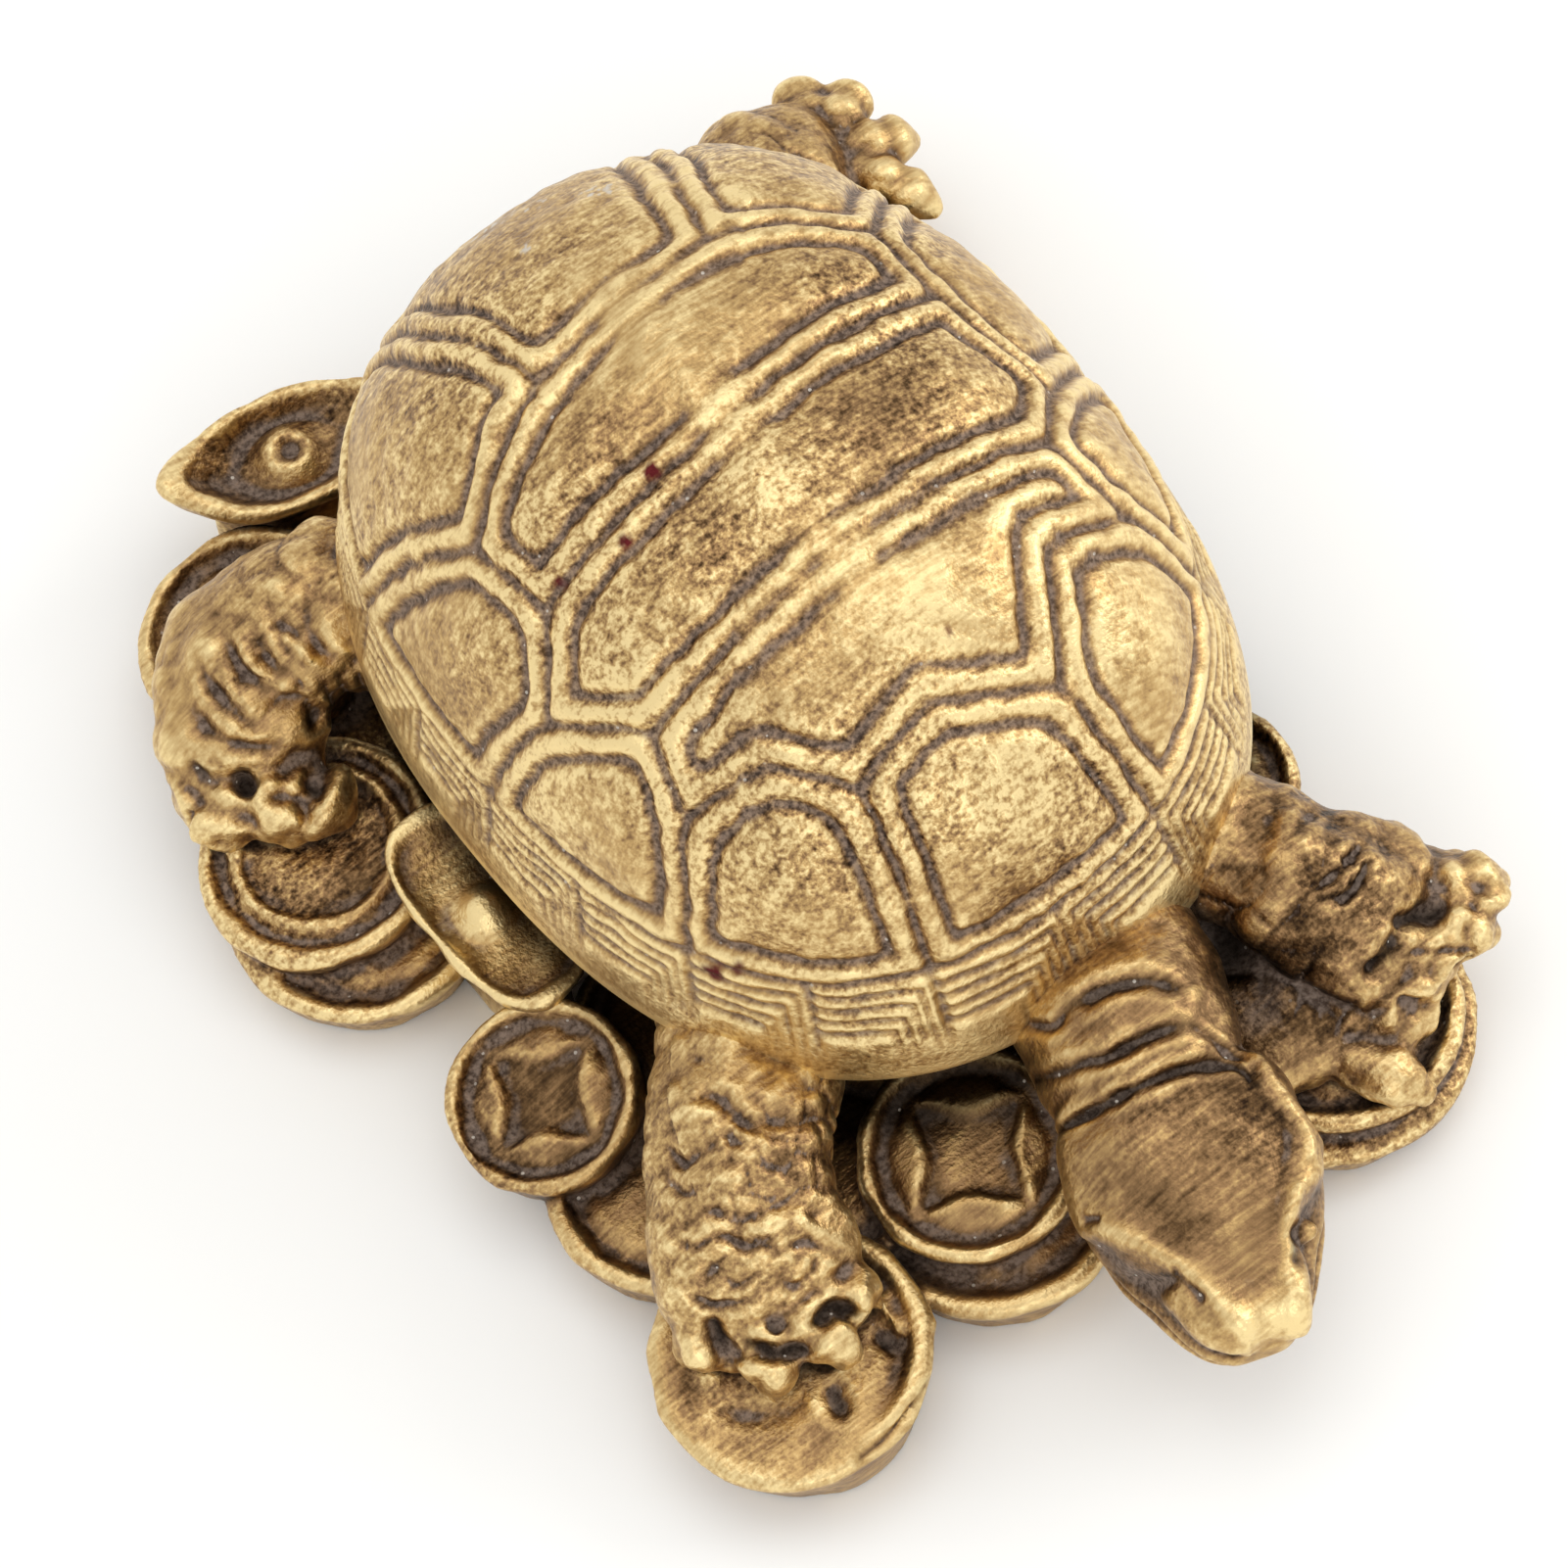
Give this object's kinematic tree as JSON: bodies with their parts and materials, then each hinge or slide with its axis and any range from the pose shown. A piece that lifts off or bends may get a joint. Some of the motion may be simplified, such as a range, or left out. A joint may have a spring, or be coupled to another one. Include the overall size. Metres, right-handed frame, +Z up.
{
  "type": "brass turtle sculpture",
  "caption": "Small cast brass turtle with a carved domed shell, standing on a ring of overlapping coins and boat-shaped ingots.",
  "frame": {"origin": "on the flat underside, below the middle of the shell", "axes": "+Z up, +Y from head to tail, +X towards the turtle's left side"},
  "size_m": [0.0426, 0.06, 0.0274],
  "materials": {
    "cast_brass": "sand-cast brass, wire-brushed bright on the raised carving, grey-brown patina in the grooves"
  },
  "bodies": {
    "root": {"turtle": "cast_brass"}
  },
  "joints": []
}
